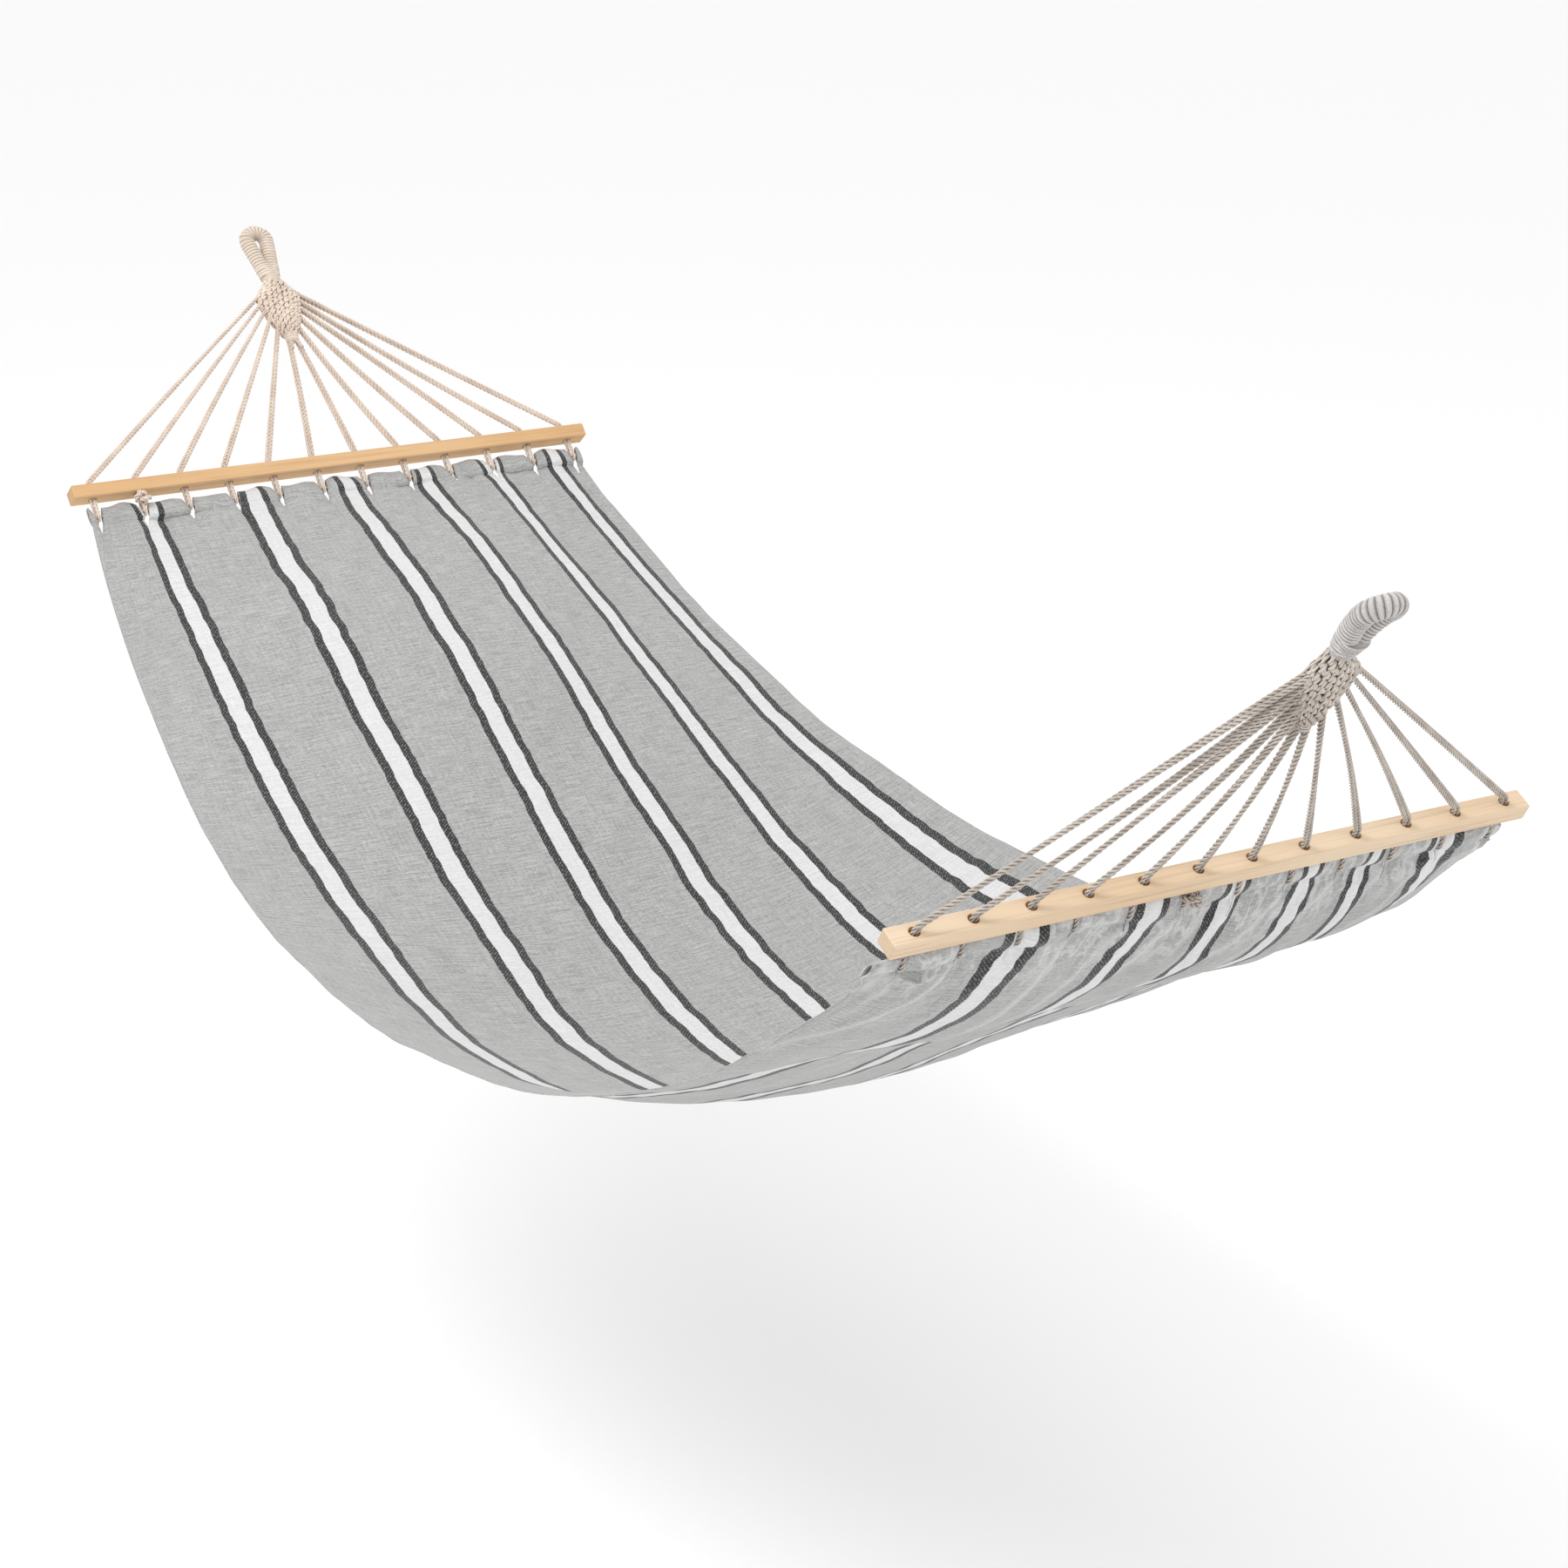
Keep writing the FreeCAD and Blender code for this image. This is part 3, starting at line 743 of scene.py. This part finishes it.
def clew(end):
    """Skins of a clew: its filling, the stitches in staggered courses, and its bound tail."""
    source = np.random.default_rng(CLEW_SEED[end])
    top, bottom = CLEW_SECTIONS[0, 0], CLEW_SECTIONS[-1, 0]
    below = np.arange(top, bottom, CLEW_CORE_STEP)
    around = np.arange(CLEW_CORE_POINTS) * 2 * math.pi / CLEW_CORE_POINTS
    wide, thick = clew_shape(below)
    outline = np.stack([(wide[:, None] - CLEW_CORE_INSET) * np.cos(around),
                        (thick[:, None] - CLEW_CORE_INSET) * np.sin(around)], 2)
    core = sweep(NECK[end][None] - FAN[end][None] * below[:, None], outline, ACROSS)
    # the filling behind the stitches is painted in full groove shade
    core["deep"] = np.ones(len(core["points"]))
    parts = [core]
    courses = int((bottom - top) / STITCH_PITCH * 2)
    for course in range(courses):
        at = top + (course + 0.8) * STITCH_PITCH / 2
        wide, thick = (float(value[0]) for value in clew_shape(np.array([at])))
        even = np.linspace(0, 2 * math.pi, 721)
        speed = np.hypot(wide * np.sin(even), thick * np.cos(even))
        arc = np.concatenate([[0.0], np.cumsum((speed[1:] + speed[:-1]) / 2)])
        for number in range(STITCHES // 2):
            place = number + 0.5 * (course % 2) + 0.05 * course + source.uniform(-0.07, 0.07)
            place = (place / (STITCHES // 2)) % 1.0
            angle = float(np.interp(place * arc[-1], arc, even))
            parts.append(stitch(end, at + source.uniform(-0.0006, 0.0006), angle, source))
    # the tail, bound off with a few turns, and its two cut ends
    parts.append(binding([fan_point(end, NECK_DISTANCE - a) for a in (0.090, 0.106)],
                         [0, 0.15, 0.85, 1], [0.009, 0.0112, 0.0098, 0.006],
                         [0.007, 0.0092, 0.0082, 0.005], CLEW_SEED[end]))
    for across in (-0.003, 0.004):
        tail = [fan_point(end, NECK_DISTANCE - a, across * k, 0.004 * k - 0.002)
                for a, k in ((0.098, 1.0), (0.110, 1.4), (0.119, 2.2))]
        parts.append(laid_rope(smoothed(tail), TAIL_RADIUS))
    return parts


for end in SIDE:
    made = piece(end + "_woven_clew", clew(end), ROPE[end])
    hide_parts(end + "_clew")
    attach(made, end + "_fan")

# ---- the cloth, with a hem folded round the cord at each end ----
CLOTH_ROWS = 300
GAP_COLUMNS = 14            # between two ropes
OUTER_COLUMNS = 4           # beyond the outermost rope
FIRST_ROW = 0.0065          # of the cloth from its hem, as a step of u
SLIT = 0.0008               # from a rope's line to the nearest columns of the cloth
NOTCH_LENGTH = 0.040        # from the hem's outer edge to the point of a notch
NOTCH_MOUTH = {"head": 0.018, "foot": 0.004}
HEM_EDGE = 0.013            # of the hem's outer edge beyond its cord
CLOTH_INSET = 0.012         # of the cloth's first row from the cord
CLOTH_THICKNESS = 0.0013
BESIDE_HEM = 0.978          # step of u at which the cloth's direction beside a hem is taken
SCALLOP_HEIGHT = 0.0055     # of the hem's outer edge between two ropes
EDGE_SKEW = 0.0025
EDGE_FADE = 0.022           # inward from the edge, where both have died out
PUFF_HEIGHT = 0.0055        # of the hem between two ropes, and of the cloth beside it
CLOTH_PUFF_HEIGHT = 0.0060
HEM_FOLD = np.array([       # distance inward from the cord, and off the cloth, in millimetres
    (13.5, -1.2), (10.0, -2.4), (6.0, -3.6), (2.0, -4.0), (-2.0, -4.0), (-6.0, -3.4), (-9.0, -2.6),
    (-11.5, -1.6), (-12.7, -0.8), (-13.0, 0.0), (-12.7, 0.8), (-11.5, 1.6), (-9.0, 2.6),
    (-5.5, 3.5), (0.0, 4.1), (4.0, 3.8), (8.0, 2.9), (11.5, 1.6)]) / 1000
# The cloth is gathered unevenly on its cords: places across each hem, from -1 to 1, and the
# places across the flat cloth that lie there.
FLAT_PLACES = [-1.30, -0.717, -0.397, -0.076, 0.244, 0.564, 0.885, 1.20]
HEM_PLACES = {"head": [-1.22, -0.80, -0.37, 0.02, 0.33, 0.615, 0.87, 1.25],
              "foot": [-1.44, -0.585, -0.185, 0.09, 0.35, 0.56, 0.765, 1.40]}
CORNER = {"head": 0.0, "foot": 0.024}       # how far the corner of the cloth at -Y sticks out
CORNER_FROM = 0.371                         # across the hem, where that begins
FOLD_SIDE = {"head": 1.0, "foot": -1.0}     # the side each hem is turned to: 1 is underneath


def ease(value, low, high):
    t = np.clip((value - low) / (high - low), 0, 1)
    return t * t * (3 - 2 * t)


def lip(from_end):
    share = from_end / LIP_REACH
    return share * np.exp(1 - share)


def line_drop(line, u):
    drop, lean, full, late, head, foot = CLOTH_LINES[line]
    sag = drop * (1 - u ** 2) * (1 + lean * u + full * u ** 2 + late * u ** 3)
    return sag + head * lip(1 + u) + foot * lip(1 - u)


def cloth_surface(u, v):
    """The CAD's own cloth surface: u from head to foot and v from side to side, both -1 to 1."""
    head, foot = fan_point("head", -FABRIC_START), fan_point("foot", -FABRIC_START)
    share = (u + 1) / 2
    middle = line_drop("middle", u)
    quarter = line_drop("quarter", u) - middle
    edge = line_drop("edge", u) - middle
    drop = middle + (16 * quarter - edge) / 3 * v ** 2 + (4 * edge - 16 * quarter) / 3 * v ** 4
    across = v * (HALF_HEM + SPREAD * (1 - u ** 2) * (1 + SPREAD_LEAN * u))
    return np.stack([head[0] + (foot[0] - head[0]) * share, across,
                     head[2] + (foot[2] - head[2]) * share - drop], -1)


def flat_place(u, v):
    """Where a point of the hanging cloth lies across the flat cloth, from -1 to 1."""
    place = v
    for end in SIDE:
        at_hem = np.mean([np.interp(v + d, HEM_PLACES[end], FLAT_PLACES)
                          for d in np.linspace(-0.12, 0.12, 9)], axis=0)
        place = place + ((1 + SIDE[end] * u) / 2) ** 3 * (at_hem - v)
    return place


def waves(a, b, count, shortest, longest, seed):
    """Smooth random height over a plane, about -1 to 1."""
    source = np.random.default_rng(seed)
    total = np.zeros(np.broadcast(a, b).shape)
    for _ in range(count):
        length = source.uniform(shortest, longest)
        way = source.uniform(0, 2 * math.pi)
        total = total + np.cos(2 * math.pi * (a * math.cos(way) + b * math.sin(way)) / length
                               + source.uniform(0, 2 * math.pi))
    return total / math.sqrt(count)


# Columns of the cloth run between the ropes: the gap that each is in, and how far through it.
COLUMNS = np.array([(gap, step / count) for gap in range(ROPES + 1)
                    for count in [OUTER_COLUMNS if gap in (0, ROPES) else GAP_COLUMNS]
                    for step in range(count + 1)])
GAP = COLUMNS[:, 0].astype(int)
SHARE = COLUMNS[:, 1]
NOTCH_AFTER = np.flatnonzero(np.diff(GAP))
ROPE_LINES = np.array([-HALF_HEM] + [hole_across(n) for n in range(1, ROPES + 1)] + [HALF_HEM])
SWELL = np.sin(math.pi * SHARE) * np.where((GAP == 0) | (GAP == ROPES), 0.3, 1.0)


def column_places(half_notch):
    """Places of the columns across a hem, from -1 to 1, with the notches opened."""
    low = ROPE_LINES[GAP] + np.where(GAP > 0, half_notch, 0.0)
    high = ROPE_LINES[GAP + 1] - np.where(GAP < ROPES, half_notch, 0.0)
    return (low + (high - low) * SHARE) / HALF_HEM


def notch_half(end, depth):
    """Half the width of a notch so deep in from the hem's outer edge."""
    return max(NOTCH_MOUTH[end] / 2 * (1 - depth / NOTCH_LENGTH), SLIT)


def per_gap(seed, low, high):
    """A number drawn for each gap between two ropes, at all the columns in it."""
    return np.random.default_rng(seed).uniform(low, high, ROPES + 1)[GAP]


FULLNESS = {"head": 0.45, "foot": 1.0}      # how far the gathered cloth puffs out between ropes
PUFF = {end: FULLNESS[end] * per_gap(seed, 0.55, 1.0) * np.sign(per_gap(seed + 1, -0.6, 1.0))
        for end, seed in (("head", 5), ("foot", 9))}
SCALLOP = {end: per_gap(seed, -0.1, 1.0) for end, seed in (("head", 15), ("foot", 19))}
SKEW = {end: per_gap(seed, -1.0, 1.0) * np.sin(2 * math.pi * SHARE)
        for end, seed in (("head", 25), ("foot", 29))}


def hem_rows(end):
    """The folded hem: rows from the stitched edge, round the cord, to the cloth."""
    start = fan_point(end, -CORD_DISTANCE)
    flat = column_places(SLIT)
    inner = cloth_surface(np.full(len(flat), SIDE[end] * BESIDE_HEM), flat)
    inward = (inner - start) * np.array([1.0, 0.0, 1.0])
    inward /= np.linalg.norm(inward, axis=1)[:, None]
    normal = np.stack([-inward[:, 2], 0 * flat, inward[:, 0]], 1) * -SIDE[end]
    rows = []
    for inset, off in HEM_FOLD:
        depth = inset + HEM_EDGE
        across = column_places(notch_half(end, depth)) * HALF_HEM
        across = across - CORNER[end] * ease(-across, CORNER_FROM, HALF_HEM)
        edge = SCALLOP_HEIGHT * SCALLOP[end] * SWELL + EDGE_SKEW * SKEW[end]
        edge = edge * (1 - ease(depth, 0.0, EDGE_FADE))
        puffed = FOLD_SIDE[end] * off * (0.85 + 0.55 * FULLNESS[end] * SWELL)
        puffed = puffed + PUFF_HEIGHT * PUFF[end] * SWELL * ease(depth, -0.01, 0.03)
        rows.append(start + across[:, None] * ACROSS + (inset - edge)[:, None] * inward
                    + puffed[:, None] * normal)
    return np.array(rows)


def run_along(rows):
    """Distance down each column of a grid of points."""
    steps = np.linalg.norm(np.diff(rows, axis=0), axis=2)
    return np.concatenate([np.zeros((1, rows.shape[1])), np.cumsum(steps, axis=0)])


# Heights of the gathers and crumples near each hem, and for the line of pull that runs out from each
# rope the ranges of its drift sideways, its reach and its depth, and how strongly a painted highlight
# lightens its ridge.
RELIEF = {
    "head": {"seed": 1, "gather": 0.0020, "crumple": 0.0008, "drift": (-0.08, 0.08),
             "reach": (0.04, 0.10), "depth": (0.0010, 0.0024), "lightened": 0.0},
    "foot": {"seed": 2, "gather": 0.0026, "crumple": 0.0016, "drift": (-0.70, -0.10),
             "reach": (0.06, 0.26), "depth": (0.0020, 0.0045), "lightened": 1.0},
}


def hem_relief(end, flat_x, flat_y, across, distance):
    """Height of the gathers and pull lines near one hem, and how strongly a painted highlight
    lightens their ridges.
    """
    look = RELIEF[end]
    beside = np.minimum(SHARE, 1 - SHARE) * HOLE_PITCH
    height = CLOTH_PUFF_HEIGHT * PUFF[end] * SWELL * np.exp(-distance / 0.050)
    height = height + 0.0012 * SKEW[end] * np.exp(-distance / 0.060)
    dimple = 0.0032 * FULLNESS[end] * np.exp(-(beside / 0.0045) ** 2)
    height = height - dimple * np.exp(-distance / 0.040)
    gather = waves(flat_x, 0.22 * flat_y, 8, 0.040, 0.090, 40 + look["seed"])
    height = height + look["gather"] * gather * np.exp(-distance / 0.11)
    fold = waves(flat_x, 0.10 * flat_y, 5, 0.12, 0.24, 50 + look["seed"])
    height = height + 0.0030 * fold * np.exp(-distance / 0.30)
    crumple = waves(flat_x, flat_y, 14, 0.015, 0.045, 61)
    crumple = crumple + 0.6 * waves(flat_x, 0.4 * flat_y, 10, 0.02, 0.05, 62)
    height = height + look["crumple"] * crumple * np.exp(-distance / 0.06)
    lightened = np.zeros_like(height)
    source = np.random.default_rng(70 + look["seed"])
    for number in range(1, ROPES + 1):
        drift, reach, depth = (source.uniform(*look[key]) for key in ("drift", "reach", "depth"))
        away = (across - hole_across(number) - drift * distance) / (0.0050 + 0.020 * distance)
        line = np.exp(-away ** 2) * np.exp(-distance / reach) * ease(distance, 0, 0.02)
        height = height - depth * line
        lightened = np.maximum(lightened, look["lightened"] * np.exp(-2 * away ** 2) * np.exp(-distance / reach))
    return height, lightened


def cloth_mesh():
    """Skin of the whole cloth in one layer: the head's hem, the hanging bed and the foot's hem."""
    t = np.linspace(-1, 1, CLOTH_ROWS)
    u = (0.5 * t + 0.5 * np.sin(math.pi / 2 * t)) * (1 - FIRST_ROW)
    closed = column_places(SLIT)
    grid_u, grid_v = np.meshgrid(u, closed, indexing="ij")
    place = cloth_surface(grid_u, grid_v)
    run = run_along(place)
    from_end = {"head": run, "foot": run[-1:] - run}
    # how far in from the hem's outer edge each row lies, as far as the notches reach
    deep_in = np.full(len(place), NOTCH_LENGTH)
    for end in SIDE:
        corner = CORNER[end] * ease(-grid_v * HALF_HEM, CORNER_FROM, HALF_HEM)
        place[..., 1] -= corner * np.exp(-from_end[end] / 0.05)
        inset = from_end[end].mean(axis=1) + CLOTH_INSET + HEM_EDGE
        for row in np.flatnonzero(inset < NOTCH_LENGTH):
            place[row, :, 1] += (column_places(notch_half(end, inset[row])) - closed) * HALF_HEM
            deep_in[row] = inset[row]
    down = np.cross(np.gradient(place, axis=0), np.gradient(place, axis=1))
    normal = down / np.linalg.norm(down, axis=2)[..., None]
    normal *= np.sign(normal[..., 2:3])
    flat_x = flat_place(grid_u, grid_v) * FLAT_WIDTH / 2
    flat_y = run - run[len(run) // 2]
    height = 0.0025 * waves(flat_x, flat_y, 7, 0.25, 0.60, 31)
    height += 0.0006 * waves(flat_x, flat_y, 12, 0.05, 0.14, 32)
    # painted highlight along the ridges of the pull lines, which the material reads as the 'deep'
    # attribute
    lightened = np.zeros_like(height)
    for end in SIDE:
        relief, ridges = hem_relief(end, flat_x, flat_y, place[..., 1], from_end[end])
        height += relief
        lightened += ridges
    place = place + normal * height[..., None]
    rows = np.concatenate([hem_rows("head"), place, hem_rows("foot")[::-1]])
    fold = len(HEM_FOLD)
    across = np.concatenate([np.repeat(flat_x[:1], fold, 0), flat_x, np.repeat(flat_x[-1:], fold, 0)])
    along = run_along(rows)
    along -= along[len(rows) // 2]
    quads, steps = grid_faces(len(rows), rows.shape[1], False)
    # leave the faces out where the notches are
    row, column = steps[:, 0].T
    folded = HEM_FOLD[:, 0] + HEM_EDGE
    depth = np.concatenate([folded, deep_in, folded[::-1]])
    keep = ~(np.isin(column, NOTCH_AFTER) & (np.maximum(depth[row], depth[row + 1]) < NOTCH_LENGTH))
    quads, steps = quads[keep], steps[keep]
    uv = np.stack([across[steps[..., 0], steps[..., 1]], along[steps[..., 0], steps[..., 1]]], 2)
    unlightened = np.zeros((fold, rows.shape[1]))
    return {"points": rows.reshape(-1, 3), "quads": quads, "uv": uv,
            "deep": np.concatenate([unlightened, lightened, unlightened]).ravel()}


cloth = piece("striped_cloth", [cloth_mesh()], CLOTH)
thicken = cloth.modifiers.new("thickness", "SOLIDIFY")
thicken.thickness = CLOTH_THICKNESS
thicken.offset = 0.0
thicken.use_even_offset = False
bpy.context.view_layer.update()
thickened = cloth.evaluated_get(bpy.context.evaluated_depsgraph_get())
cloth.data = bpy.data.meshes.new_from_object(thickened)
cloth.modifiers.clear()
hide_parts("fabric", "head_hem", "foot_hem")
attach(cloth, "bed")

# ---- camera ----
YAW, PITCH, ROLL = 0.57945, 0.3233, 0.01728             # in radians
CAMERA_OFFSET = np.array([3.4857, -2.1539, 1.1785])     # from midway between the two bars
LENS, SENSOR = 81.42, 36.0                              # in millimetres

camera_data = bpy.data.cameras.new("camera")
camera_data.lens = LENS
camera_data.sensor_width = SENSOR
camera_data.clip_end = 200.0
camera = bpy.data.objects.new("camera", camera_data)
bpy.context.scene.collection.objects.link(camera)
flat_share = math.cos(PITCH)
forward = Vector((-math.cos(YAW) * flat_share, math.sin(YAW) * flat_share, -math.sin(PITCH)))
camera.rotation_mode = "QUATERNION"
camera.rotation_quaternion = Quaternion(forward, -ROLL) @ forward.to_track_quat("-Z", "Y")
camera.location = Vector((BAR["head"] + BAR["foot"]) / 2 + CAMERA_OFFSET)
bpy.context.scene.camera = camera

# ---- floor and light ----
FLOOR_DROP = 0.60           # of the floor below the cloth's lowest point
FLOOR_SIZE = 60.0
SKY_STRENGTH = 1.02

floor_mesh = bpy.data.meshes.new("floor")
half = FLOOR_SIZE / 2
level = cad_box[0].z - FLOOR_DROP
corners = [(-half, -half, level), (half, -half, level), (half, half, level), (-half, half, level)]
floor_mesh.from_pydata(corners, [], [(0, 1, 2, 3)])
floor = bpy.data.objects.new("floor", floor_mesh)
bpy.context.scene.collection.objects.link(floor)
paper = Shader("floor_paper")
paper.put(paper.surface.inputs["Base Color"], grey(0.93))
paper.put(paper.surface.inputs["Roughness"], 0.9)
floor_mesh.materials.append(paper.material)

world = bpy.data.worlds.new("studio")
world.use_nodes = True
sky = world.node_tree.nodes["Background"]
sky.inputs["Color"].default_value = grey(1.0)
sky.inputs["Strength"].default_value = SKY_STRENGTH
bpy.context.scene.world = world
bpy.context.scene.view_settings.view_transform = "Standard"


def area_light(name, place, target, size, power):
    data = bpy.data.lights.new(name, "AREA")
    data.shape = "DISK"
    data.size = size
    data.energy = power
    lamp = bpy.data.objects.new(name, data)
    lamp.location = place
    lamp.rotation_mode = "QUATERNION"
    lamp.rotation_quaternion = (Vector(target) - Vector(place)).to_track_quat("-Z", "Y")
    bpy.context.scene.collection.objects.link(lamp)


centre = Vector((BAR["head"] + BAR["foot"]) / 2)
area_light("key", centre + Vector((0.5, -3.0, 3.6)), centre, 2.4, 110.0)
area_light("fill", centre + Vector((3.5, 2.5, 2.0)), centre, 3.0, 35.0)
